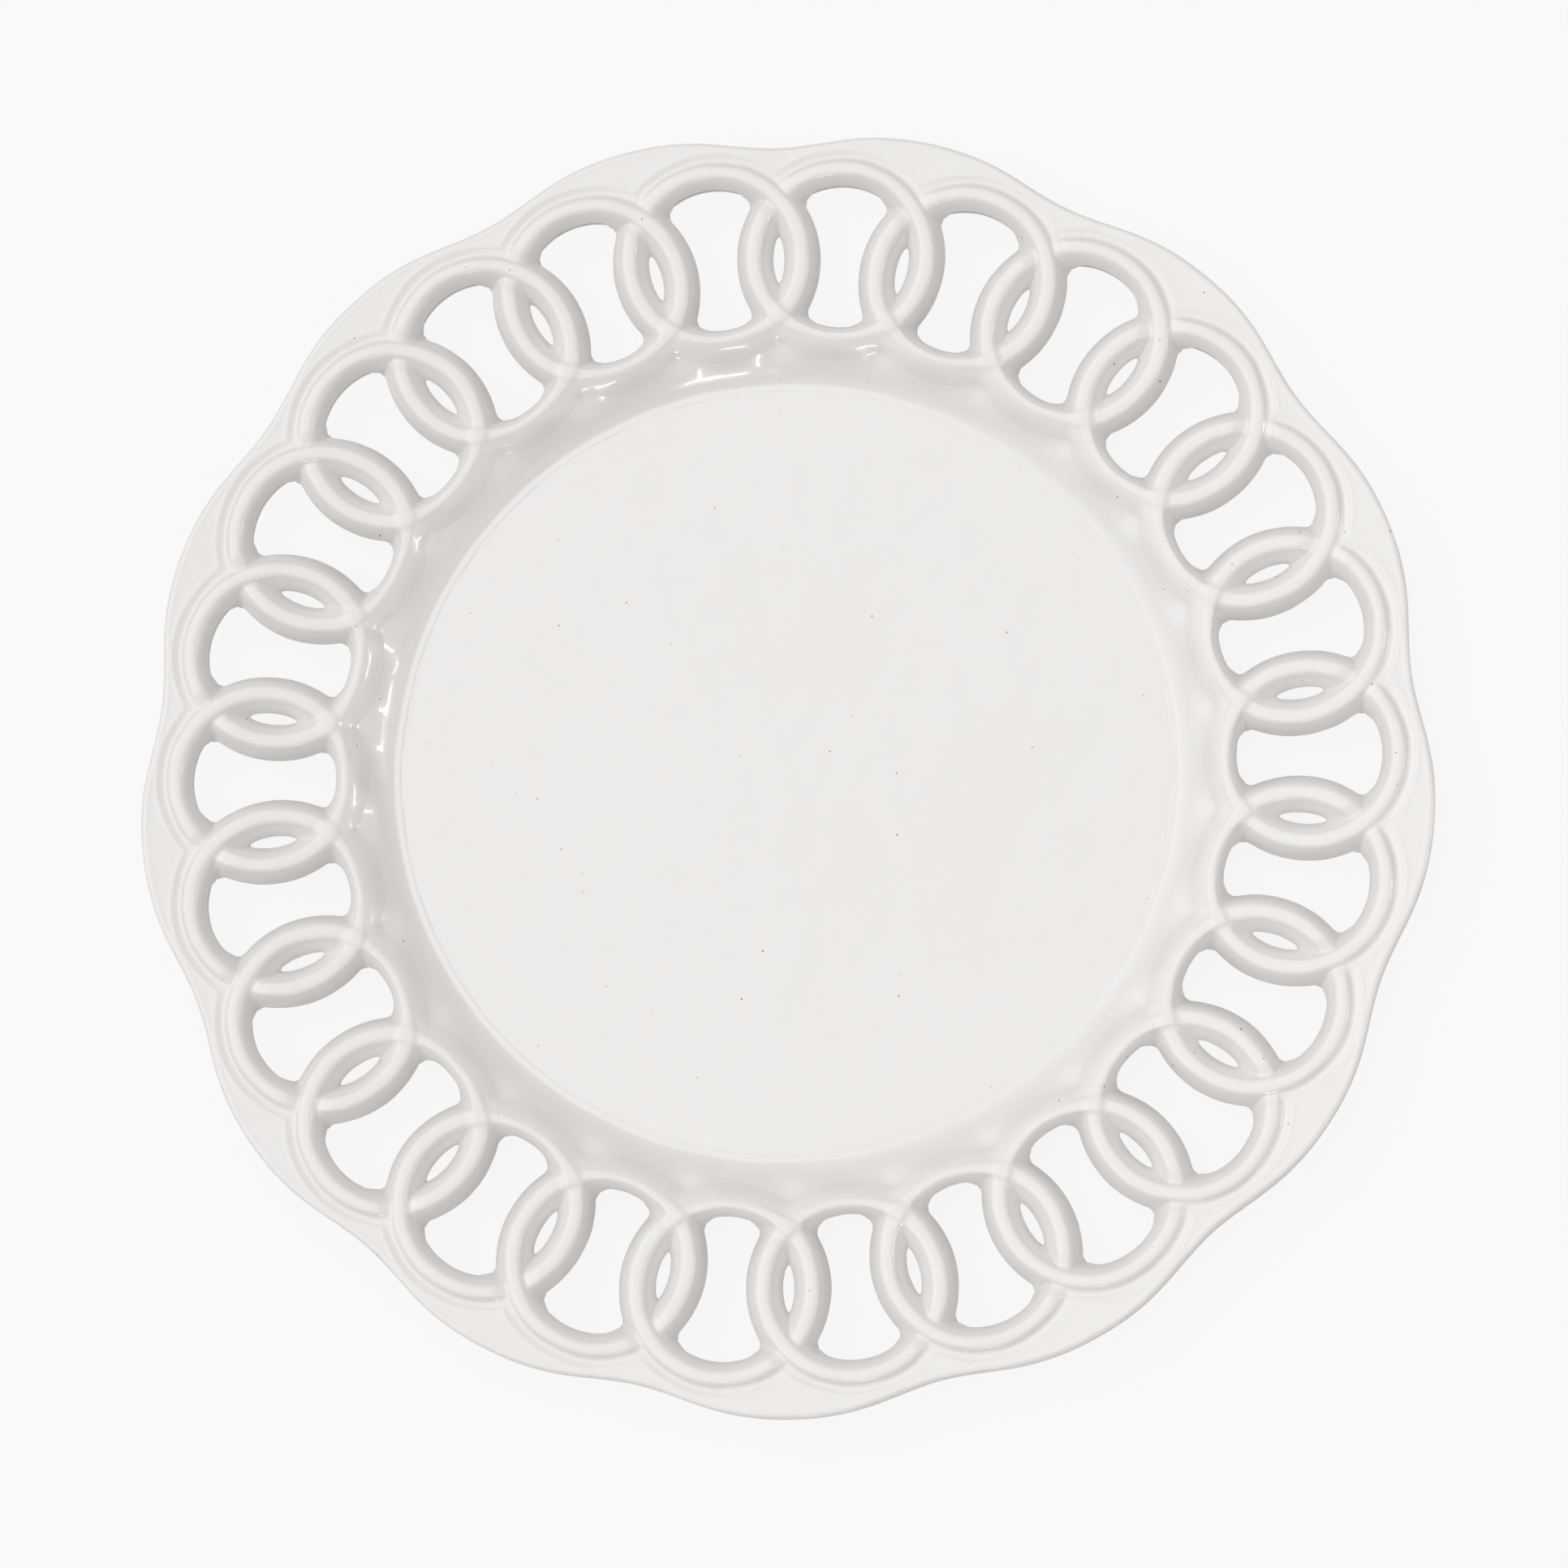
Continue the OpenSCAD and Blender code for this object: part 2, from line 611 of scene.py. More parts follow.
        cavetto = self._cavetto(make, place, radius, rho_a, rho_b, cone)
        shelf = (-self.ridge_offset - nearest).hard_max(0.0) * self.cut_slope
        cavetto = cavetto - shelf - outside * self.cut_depth

        height = strands.soft_max(border, self.border_fill).soft_max(cavetto, self.cavetto_fill)
        sharp = sharp.hard_max(border).hard_max(cavetto)
        waves = make.noise(place, self.seed + 2.0, self.wave_grain, 2.0) * (2 * self.glaze_wave)

        make.gives("Height", height + waves)
        # Pool: the glaze finish tints it warmer, partly real glaze pooling and partly painted shade
        # in the creases and the channel.
        pool = ((height - sharp) / self.pool_depth).hard_max(channel * self.channel_pool)
        make.gives("Pool", pool.hard_min(1.0))
        make.gives("Offset A", off_a)
        make.gives("Offset B", off_b)
        make.gives("Out", out)
        make.gives("Cone", cone)
        return make.tree

    @staticmethod
    def _edge_distance(radius: Num, turn: Num, size: PlateSizes) -> Num:
        """Distance inwards from the scalloped edge."""
        wave = (turn * float(size.scallops)).cos() * size.wave
        nip = (turn * float(2 * size.scallops)).cos() * size.notch_nip
        return size.edge_mid_r - wave - nip - radius

    def _cavetto(
        self, make: TreeMaker, place: Num, radius: Num, rho_a: Num, rho_b: Num, cone: Num
    ) -> Num:
        """Height of the well's floor and of the fluted wall that climbs to the rings.

        Args:
            make: The tree being written.
            place: Point at which the height is read.
            radius: Distance from the middle of the plate.
            rho_a: Distance from the centre of one near ring.
            rho_b: Distance from the centre of the other near ring.
            cone: Height of the rim's cone.

        Returns:
            The height.
        """
        size = self.sizes
        width = size.ridge_r - size.well_r
        fluted = size.circle_r - rho_a.soft_min(rho_b, self.flute_blend)
        follow = radius.ramp(size.well_r + 3.5 * MM, size.ring_inner_r + 3.0 * MM)
        follow = follow * self.flute_share
        reach = follow.mix(radius, fluted).hard_min(size.ridge_r)
        share = ((reach - size.well_r - self.line_width) / (width - self.line_width)).hard_max(0.0)
        low = share.hard_min(self.steep_at)
        high = (share - self.steep_at).hard_max(0.0)
        low_bend = (self.climb_steep - self.climb_start) / (2 * self.steep_at)
        high_bend = (self.climb_steep - self.climb_level) / (2 * (1 - self.steep_at))
        climb = low * (self.climb_start + low * low_bend)
        climb = climb + high * (self.climb_steep - high * high_bend)
        fall = (1.0 - climb) * size.cavetto_rise + (reach - size.ridge_r) * size.rim_slope
        wall = cone - fall
        sag = make.noise(place, self.seed + 1.0, self.sag_grain, 0.0) * self.sag
        x, _, _ = make.parts(place)
        leftward = (-(x / size.well_r)).hard_max(0.0) * 0.7 + 0.3
        line = radius.ramp(size.well_r, size.well_r + self.line_edge) * leftward * self.line_height
        return wall.soft_max(line + size.floor_z, self.floor_fill) + sag


@dataclass
class SheetRows:
    """Rows of a closed band: across the top, down one wall, back along the underside and up.

    The corners of across and down are pairs: share of the way back round the section, and the
    share of the width or of the thickness reached there.
    """

    top_rows: int
    back_rows: int
    across: tuple[tuple[float, float], ...]
    down: tuple[tuple[float, float], ...]
    edge_row: float = 0.05 * MM

    @property
    def rows(self) -> int:
        """Number of steps once round the section."""
        return self.top_rows + self.back_rows

    def section(self, make: TreeMaker, step: Num, width: "Num | float") -> tuple[Num, Num]:
        """Place across the band and share of the way down to its underside.

        Args:
            make: The tree being written.
            step: Number of the row.
            width: Width of the band.

        Returns:
            Distance across from the inner edge, and 0 on the top to 1 on the underside.
        """
        inner = width - 2 * self.edge_row
        even = (step - 1.0) / float(self.top_rows - 2) * inner + self.edge_row
        even = even.hard_max(0.0).hard_min(width)
        back = ((step - float(self.top_rows)) / float(self.back_rows)).hard_max(0.0)
        is_back = step.op("GREATER_THAN", self.top_rows + 0.5)
        across = make.curve(back, self.across) * width
        return is_back.mix(even, across), make.curve(back, self.down) * is_back


# Share of the way back round the section, against the share of the width or of the thickness
RING_ACROSS = ((0.0, 1.0), (0.1, 0.955), (0.2, 0.91), (0.3, 0.86), (0.4, 0.76), (0.6, 0.24),
               (0.7, 0.14), (0.8, 0.09), (0.9, 0.045), (1.0, 0.0))
RING_DOWN = ((0.0, 0.0), (0.1, 0.28), (0.2, 0.6), (0.3, 0.87), (0.4, 1.0), (0.6, 1.0),
             (0.7, 0.87), (0.8, 0.6), (0.9, 0.28), (1.0, 0.0))


class GridBand:
    """Start and end of a tree that bends a flat grid into a closed band."""

    def __init__(self, name: str, around: int, rows: int) -> None:
        """Lays out the grid.

        Args:
            name: Name of the tree.
            around: Steps round the band.
            rows: Steps round its section.
        """
        self.make = TreeMaker(name)
        make = self.make
        make.tree.interface.new_socket("Geometry", in_out="INPUT", socket_type="NodeSocketGeometry")
        self.material = make.takes("Finish", kind="NodeSocketMaterial")
        self.turn = make.takes("Turn", 0.0)
        self.seed = make.takes("Seed", 0.0)
        grid = make.node("GeometryNodeMeshGrid")
        grid.inputs["Size X"].default_value = 1.0
        grid.inputs["Size Y"].default_value = 1.0
        grid.inputs["Vertices X"].default_value = around + 1
        grid.inputs["Vertices Y"].default_value = rows + 1
        self.mesh = grid.outputs["Mesh"]
        place = make.node("GeometryNodeInputPosition")
        x, y, _ = make.parts(place.outputs[0])
        self.around = ((x + 0.5) * float(around)).op("ROUND") / float(around)
        self.step = ((y + 0.5) * float(rows)).op("ROUND")

    def store(self, name: Attr, value: Num) -> None:
        """Leaves a named number on the points of the mesh."""
        make = self.make
        node = make.node("GeometryNodeStoreNamedAttribute", data_type="FLOAT", domain="POINT")
        make.link(self.mesh, node.inputs["Geometry"])
        node.inputs["Name"].default_value = name.value
        make.link(value, node.inputs["Value"])
        self.mesh = node.outputs["Geometry"]

    def close(self, place: Num) -> bpy.types.NodeTree:
        """Moves the points, closes the seams and ends the tree.

        Args:
            place: New place of each point.

        Returns:
            The finished tree.
        """
        make = self.make
        move = make.node("GeometryNodeSetPosition")
        make.link(self.mesh, move.inputs["Geometry"])
        make.link(place, move.inputs["Position"])
        merge = make.node("GeometryNodeMergeByDistance")
        make.link(move.outputs[0], merge.inputs["Geometry"])
        merge.inputs["Distance"].default_value = MERGE_DISTANCE
        smooth = make.node("GeometryNodeSetShadeSmooth")
        make.link(merge.outputs[0], smooth.inputs["Geometry"])
        real = make.node("GeometryNodeRealizeInstances")
        make.link(smooth.outputs[0], real.inputs["Geometry"])
        dress = make.node("GeometryNodeSetMaterial")
        make.link(real.outputs[0], dress.inputs["Geometry"])
        make.link(self.material, dress.inputs["Material"])
        make.gives("Geometry", Num(make.tree, dress.outputs[0]), "NodeSocketGeometry")
        return make.tree


def grow(
    name: str, tree: bpy.types.NodeTree, finish: bpy.types.Material, **values: float
) -> bpy.types.Object:
    """Runs a tree on a new object and keeps the result as a plain mesh.

    Args:
        name: Name of the piece.
        tree: The tree to run.
        finish: Material of the piece.
        values: The tree's inputs by name, with underscores for spaces.

    Returns:
        The finished piece.
    """
    mesh = bpy.data.meshes.new(name)
    piece = bpy.data.objects.new(name, mesh)
    bpy.context.scene.collection.objects.link(piece)
    modifier = piece.modifiers.new("shape", "NODES")
    modifier.node_group = tree
    sockets = {
        item.name: item.identifier
        for item in tree.interface.items_tree
        if item.item_type == "SOCKET" and item.in_out == "INPUT"
    }
    modifier[sockets["Finish"]] = finish
    for key, value in values.items():
        modifier[sockets[key.replace("_", " ")]] = value
    graph = bpy.context.evaluated_depsgraph_get()
    shaped = bpy.data.meshes.new_from_object(
        piece.evaluated_get(graph), preserve_all_data_layers=True, depsgraph=graph
    )
    piece.modifiers.clear()
    piece.data = shaped
    shaped.name = name
    bpy.data.meshes.remove(mesh)
    return piece


def settle(piece: bpy.types.Object, slot: Slot, *nodes: str) -> None:
    """Hands a piece to the frame and reports it.

    Args:
        piece: The finished piece.
        slot: Not used.
        nodes: Solids that it stands for.
    """
    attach(piece, "root")
    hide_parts(*nodes)
    LOG.info("%s: %d faces", piece.name, len(piece.data.polygons))


@dataclass
class RingChain:
    """The endless chain of interlaced rings, one piece for each ring."""

    sizes: PlateSizes
    surface: bpy.types.NodeTree
    finish: bpy.types.Material
    around: int = 320
    top_rows: int = 30
    back_rows: int = 18
    cut_grain: float = 1.6 * MM
    cut_wander: float = 0.16 * MM
    edge_band: float = 1.0 * MM
    corner_round: float = 1.5 * MM
    corner_share: float = 0.92
    tip_width: float = 0.5 * MM
    tip_fill: float = 0.4 * MM
    arc_cut: float = 0.6 * MM
    under_drop: float = 1.2 * MM
    under_skin: float = 0.012 * MM
    back_lift: float = 0.6 * MM

    def tree(self) -> bpy.types.NodeTree:
        """Writes the tree that makes one ring at a given turn."""
        size = self.sizes
        rows = SheetRows(self.top_rows, self.back_rows, RING_ACROSS, RING_DOWN)
        band = GridBand("chain_ring", self.around, rows.rows)
        make = band.make
        across, depth = rows.section(make, band.step, size.strand_w)
        sweep = (band.around + 0.5 / self.around) * -TURN
        flush = depth.ramp(0.0, 0.05) * across.ramp(0.7 * size.strand_w, 0.76 * size.strand_w)
        flush = flush * sweep.sin().op("ABSOLUTE").ramp(0.78, 0.9)
        across = across + (size.strand_w - across) * flush
        spot = make.vector(sweep.cos() * size.ring_r, sweep.sin() * size.ring_r, across * 0.6)
        ragged = make.noise(spot, band.seed, self.cut_grain, 2.0)
        slow = make.noise(spot, band.seed + 4.0, 6.0 * self.cut_grain)
        hole_edge = across.ramp(self.edge_band, 0.0)
        far_edge = across.ramp(size.strand_w - self.edge_band, size.strand_w)
        apart = sweep.cos().op("ABSOLUTE").ramp(0.95, 0.99)
        apart = apart + sweep.sin().op("ABSOLUTE").ramp(0.9, 0.97)
        shift = (ragged * 0.55 + slow) * (hole_edge + far_edge)
        shift = shift * (apart * 0.7 + 0.3) * self.cut_wander
        shift = shift + self._trim(across, sweep, hole_edge, far_edge)
        rho = across + size.hole_r + shift
        local_x, local_y = rho * sweep.cos(), rho * sweep.sin() + size.circle_r
        cos_t, sin_t = band.turn.cos(), band.turn.sin()
        x = local_x * cos_t - local_y * sin_t
        y = local_x * sin_t + local_y * cos_t
        top = make.group(self.surface, Position=make.vector(x, y, 0.0))
        height, pool, off_a, off_b, out, cone = (Num(make.tree, o) for o in top.outputs[:6])

        own_is_a = (-local_x).op("GREATER_THAN", 0.0)
        other = own_is_a.mix(off_a, off_b)
        outside = out.op("GREATER_THAN", 0.0)
        same = own_is_a.op("COMPARE", outside, 0.1)
        inside = size.strand_w / 2 - other.op("ABSOLUTE")
        skin = inside.ramp(-0.3 * MM, 0.0) * self.under_skin
        drop = inside.ramp(1.2 * MM, 2.0 * MM) * self.under_drop
        height = height - same * (skin + drop)
        back = cone - size.strand_t
        back = back + (1.0 - same) * other.op("ABSOLUTE").ramp(6.0 * MM, 1.0 * MM) * self.back_lift
        bulge = (across / size.strand_w * math.pi).sin() * (0.25 * MM)
        back = back - bulge * 0.4
        z = depth.mix(height, back)
        # The glaze finish paints shade from these: warmer in the creases and darker down the walls
        # of the openings.
        band.store(Attr.POOL, pool * (1.0 - depth))
        band.store(Attr.DEPTH, ((cone - z) / size.strand_t).op("MULTIPLY", 1.0, clamp=True))
        return band.close(make.vector(x, y, z))

    def _trim(self, across: Num, sweep: Num, hole_edge: Num, far_edge: Num) -> Num:
        """Shift of the strand's edges that rounds the corners of the openings.

        Args:
            across: Distance from the ring's inner edge.
            sweep: Angle round the ring.
            hole_edge: 1 at the inner edge, fading to 0 on the strand.
            far_edge: 1 at the outer edge, fading to 0 on the strand.

        Returns:
            The shift away from the ring's centre.
        """
        size = self.sizes
        rho = across + size.hole_r
        beside = (rho * sweep.cos()).op("ABSOLUTE") - size.circle_r * math.sin(size.ring_angle)
        beyond = rho * sweep.sin() + size.circle_r * (1 - math.cos(size.ring_angle))
        free = size.hole_r - (beside * beside + beyond * beyond).sqrt()
        short = (self.corner_round - free).hard_max(0.0)
        short = short.hard_min(self.corner_round * self.corner_share)
        web = self.corner_round - (self.corner_round**2 - short * short).hard_max(0.0).sqrt()
        web = web * free.ramp(-2.0 * MM, -0.5 * MM)
        tip = free.bump(0.0, self.tip_width) * self.tip_fill
        arc = (sweep.sin().ramp(0.8, 0.92) + (-sweep.sin()).ramp(0.92, 0.98)) * self.arc_cut
        return web * far_edge + (arc - tip) * hole_edge

    def build(self) -> None:
        """Makes the rings, counter-clockwise from the first one after the +Y notch."""
        tree = self.tree()
        for count in range(1, self.sizes.rings + 1):
            piece = grow(
                f"woven_ring_{count:02d}", tree, self.finish,
                Turn=(count - 0.5) * self.sizes.ring_angle, Seed=2.0 * count,
            )
            settle(piece, Slot.GLAZE, f"ring_{count:02d}")


def union_radius(sector: Num, size: PlateSizes, side: float) -> Num:
    """Radius of the outer or inner outline of the whole chain.

    Args:
        sector: Angle from the nearest crossing line.
        size: Sizes of the plate.
        side: 1 for the outer outline and -1 for the inner one.

    Returns:
        The radius.
    """
    swing = size.ring_angle / 2 - sector.op("ABSOLUTE")
    sine = swing.sin() * size.circle_r
    return swing.cos() * size.circle_r + (size.ring_r**2 - sine * sine).sqrt() * side


@dataclass
class RoundBand:
    """A band round the middle of the plate whose top samples the glazed surface."""

    sizes: PlateSizes
    surface: bpy.types.NodeTree
    finish: bpy.types.Material
    around: int = 26 * 44
    lap: float = 0.8 * MM
    under_skin: float = 0.012 * MM
    under_drop: float = 1.2 * MM

    def start(self, name: str, rows: SheetRows) -> tuple[GridBand, Num, Num]:
        """Lays out the grid of the band.

        Args:
            name: Name of its tree.
            rows: Its rows.

        Returns:
            The grid, the turn from the +Y notch and the angle from the nearest crossing line.
        """
        band = GridBand(name, self.around, rows.rows)
        turn = band.around * -TURN
        sector = turn - (turn / self.sizes.ring_angle).op("ROUND") * self.sizes.ring_angle
        return band, turn, sector

    def sample(self, band: GridBand, turn: Num, radius: Num) -> tuple[Num, Num, list[Num]]:
        """Point of the band and the glazed surface over it.

        Args:
            band: The grid being bent.
            turn: Angle from the +Y notch.
            radius: Distance from the middle of the plate.

        Returns:
            The point's x and y, and the surface group's outputs.
        """
        make = band.make
        x, y = -(radius * turn.sin()), radius * turn.cos()
        top = make.group(self.surface, Position=make.vector(x, y, 0.0))
        return x, y, [Num(make.tree, out) for out in top.outputs[:6]]

    def sink(self, off_a: Num, off_b: Num) -> Num:
        """How far the band lies under the rings that cover it."""
        inside = self.sizes.strand_w / 2 - off_a.hard_min(off_b)
        skin = inside.ramp(-0.3 * MM, 0.0) * self.under_skin
        return skin + inside.ramp(0.3 * MM, self.lap) * self.under_drop


@dataclass
class ScallopedBorder(RoundBand):
    """The narrow flat border outside the rings with its scalloped edge."""

    def build(self) -> None:
        """Makes the border."""
        size = self.sizes
        rows = SheetRows(
            26, 18,
            ((0.0, 1.0), (0.3, 1.0), (0.45, 0.985), (0.55, 0.93), (0.8, 0.05), (0.9, 0.0),
             (1.0, 0.0)),
            ((0.0, 0.0), (0.3, 0.72), (0.45, 0.93), (0.55, 1.0), (0.8, 1.0), (0.9, 0.9),
             (1.0, 0.0)),
        )
        band, turn, sector = self.start("scalloped_border", rows)
        make = band.make
        wave = (turn * float(size.scallops)).cos() * size.wave
        nip = (turn * float(2 * size.scallops)).cos() * size.notch_nip
        edge = size.edge_mid_r - wave - nip
        inner = union_radius(sector, size, 1.0) - self.lap
        across, depth = rows.section(make, band.step, edge - inner)
        x, y, (height, pool, off_a, off_b, _, cone) = self.sample(band, turn, inner + across)
        height = height - self.sink(off_a, off_b)
        back = cone - size.strand_t + 0.05 * MM
        # The glaze finish paints shade from these: warmer in the creases and a little darker on the
        # underside.
        band.store(Attr.POOL, pool * (1.0 - depth))
        band.store(Attr.DEPTH, depth * 0.5)
        tree = band.close(make.vector(x, y, depth.mix(height, back)))
        piece = grow("border_edge", tree, self.finish)
        settle(piece, Slot.GLAZE, "rim_border")


@dataclass
class WellCavetto(RoundBand):
    """The low wall that climbs in flutes from the floor to the inner sides of the rings."""

    def build(self) -> None:
        """Makes the wall."""
        size = self.sizes
        rows = SheetRows(
            40, 12,
            ((0.0, 1.0), (0.2, 1.0), (0.3, 0.98), (0.8, 0.02), (0.9, 0.0), (1.0, 0.0)),
            ((0.0, 0.0), (0.2, 0.9), (0.3, 1.0), (0.8, 1.0), (0.9, 0.9), (1.0, 0.0)),
        )
        band, turn, sector = self.start("fluted_cavetto", rows)
        make = band.make
        inner = size.well_r - 0.6 * MM
        outer = union_radius(sector, size, -1.0) + self.lap
        across, depth = rows.section(make, band.step, outer - inner)
        radius = across + inner
        x, y, (height, pool, off_a, off_b, _, cone) = self.sample(band, turn, radius)
        height = height - self.sink(off_a, off_b)
        height = height - radius.ramp(size.well_r - 0.1 * MM, inner) * (0.4 * MM)
        climb = radius.ramp(size.well_r, size.ring_inner_r)
        back = climb.mix(size.foot_h + 0.1 * MM, cone - size.strand_t + 0.05 * MM)
        # The glaze finish paints shade from these: warmer in the creases and a little darker on the
        # underside.
        band.store(Attr.POOL, pool * (1.0 - depth))
        band.store(Attr.DEPTH, depth * 0.5)
        tree = band.close(make.vector(x, y, depth.mix(height, back)))
        piece = grow("fluted_wall", tree, self.finish)
        settle(piece, Slot.GLAZE, "cavetto_wall")


@dataclass
class WellFloor(RoundBand):
    """The flat floor of the well, a closed disc."""

    def build(self) -> None:
        """Makes the floor."""
        size = self.sizes
        rows = SheetRows(
            60, 22,
            ((0.0, 1.0), (0.1, 1.0), (0.16, 0.99), (1.0, 0.0)),
            ((0.0, 0.0), (0.1, 0.9), (0.16, 1.0), (1.0, 1.0)),
        )
        band, turn, _ = self.start("well_floor", rows)
        make = band.make
        across, depth = rows.section(make, band.step, size.well_r)
        across = across * band.step.op("GREATER_THAN", 0.5)
        x, y, (height, _, _, _, _, _) = self.sample(band, turn, across)
        # The glaze finish paints a little shade on the underside from the depth.
        band.store(Attr.POOL, depth * 0.0)
        band.store(Attr.DEPTH, depth * 0.5)
        tree = band.close(make.vector(x, y, depth.mix(height, size.foot_h)))
        piece = grow("well_disc", tree, self.finish)
        settle(piece, Slot.GLAZE, "well_floor")


@dataclass
class FootRing:
    """The ring that the plate stands on, glazed on its sides and bare where it rests."""

    sizes: PlateSizes
    finish: bpy.types.Material
    around: int = 360

    def build(self) -> None:
        """Makes the ring by turning its rounded section round the plate's axis."""
        size = self.sizes
        rows = 24
        band = GridBand("foot_ring", self.around, rows)
        make = band.make
        share = band.step / float(rows)
        width = size.foot_w + 2 * size.foot_flare
        inner = size.foot_outer_r - width
        low, high = size.foot_flare / width, 1 - size.foot_flare / width
        across = make.curve(share, (
            (0.0, 0.0), (0.06, 0.0), (0.24, low * 0.75), (0.3, low + 0.03), (0.36, low + 0.12),
            (0.55, high - 0.12), (0.61, high - 0.03), (0.67, 1 - low * 0.75), (0.85, 1.0),
            (0.91, 1.0), (1.0, 0.0),
        ))
        rise = make.curve(share, (
            (0.0, 1.0), (0.06, 0.95), (0.24, 0.2), (0.3, 0.06), (0.36, 0.0), (0.55, 0.0),
            (0.61, 0.06), (0.67, 0.2), (0.85, 0.95), (0.91, 1.0), (1.0, 1.0),
        ))
        turn = band.around * TURN
        radius = across * width + inner
        spot = make.vector(turn.cos() * size.foot_outer_r, turn.sin() * size.foot_outer_r, radius)
        worn = make.noise(spot, 8.0, 4 * MM, 2.0) * (0.12 * MM)
        z = rise * (size.foot_h + 0.15 * MM) + worn.op("ABSOLUTE") * (1.0 - rise)
        radius = radius + worn
        band.store(Attr.POOL, rise * 0.0)
        band.store(Attr.DEPTH, rise * 0.5)
        tree = band.close(make.vector(radius * turn.cos(), radius * turn.sin(), z))
        piece = grow("standing_foot", tree, self.finish)
        settle(piece, Slot.CLAY, "foot_ring")


def set_sockets(node: bpy.types.Node, **values: object) -> bpy.types.Node:
    """Sets inputs of a node by name, with underscores for spaces.

    Args:
        node: The node.
        values: Its inputs.

    Returns:
        The node.
    """
    for key, value in values.items():
        node.inputs[key.replace("_", " ")].default_value = value
    return node


def ripple_group() -> bpy.types.NodeTree:
    """Writes the shader group for the slight unevenness of a fired, wheel-turned glaze.

    Returns:
        A group that takes Position, Grain, Wave and Turned and puts out Height.
    """
    make = TreeMaker("glaze_ripple", "ShaderNodeTree")
    place = make.takes("Position", kind="NodeSocketVector")
    grain = make.takes("Grain", 1.0)
    wave = make.takes("Wave", 1.0)
    turned = make.takes("Turned", 0.0)
    fine = make.noise(place, 1.0, 0.9 * MM, 2.0)
    slow = make.noise(place, 6.0, 5.0 * MM, 2.0)
    x, y, _ = make.parts(place)
    radius = (x * x + y * y).sqrt()
    rings = make.noise(make.vector(radius, x * 0.01, y * 0.01), 3.0, 1.1 * MM, 2.0)
    worked = radius.bump(66 * MM, 9 * MM) * turned
    make.gives("Height", fine * grain + slow * wave + rings * worked)
    return make.tree


def speck_group() -> bpy.types.NodeTree:
    """Writes the shader group for the sparse dark pinpricks in the glaze.

    Returns:
        A group that takes Position, Rarity and Width and puts out Mask.
    """
    make = TreeMaker("kiln_specks", "ShaderNodeTree")
    place = make.takes("Position", kind="NodeSocketVector")
    rarity = make.takes("Rarity", 0.95)
    width = make.takes("Width", 0.025)
    cells = make.node("ShaderNodeTexVoronoi", feature="F1", voronoi_dimensions="2D")
    make.link(place, cells.inputs["Vector"])
    cells.inputs["Scale"].default_value = 1.0 / (4.0 * MM)
    red, green, blue = make.parts(cells.outputs["Color"])
    chosen = red.op("GREATER_THAN", rarity) * (blue * 0.7 + 0.3)
    radius = width * (0.5 + green)
    spot = ((radius - Num(make.tree, cells.outputs["Distance"])) / (width * 0.4)).op(
        "MULTIPLY", 1.0, clamp=True
    )
    make.gives("Mask", spot * chosen)
    return make.tree


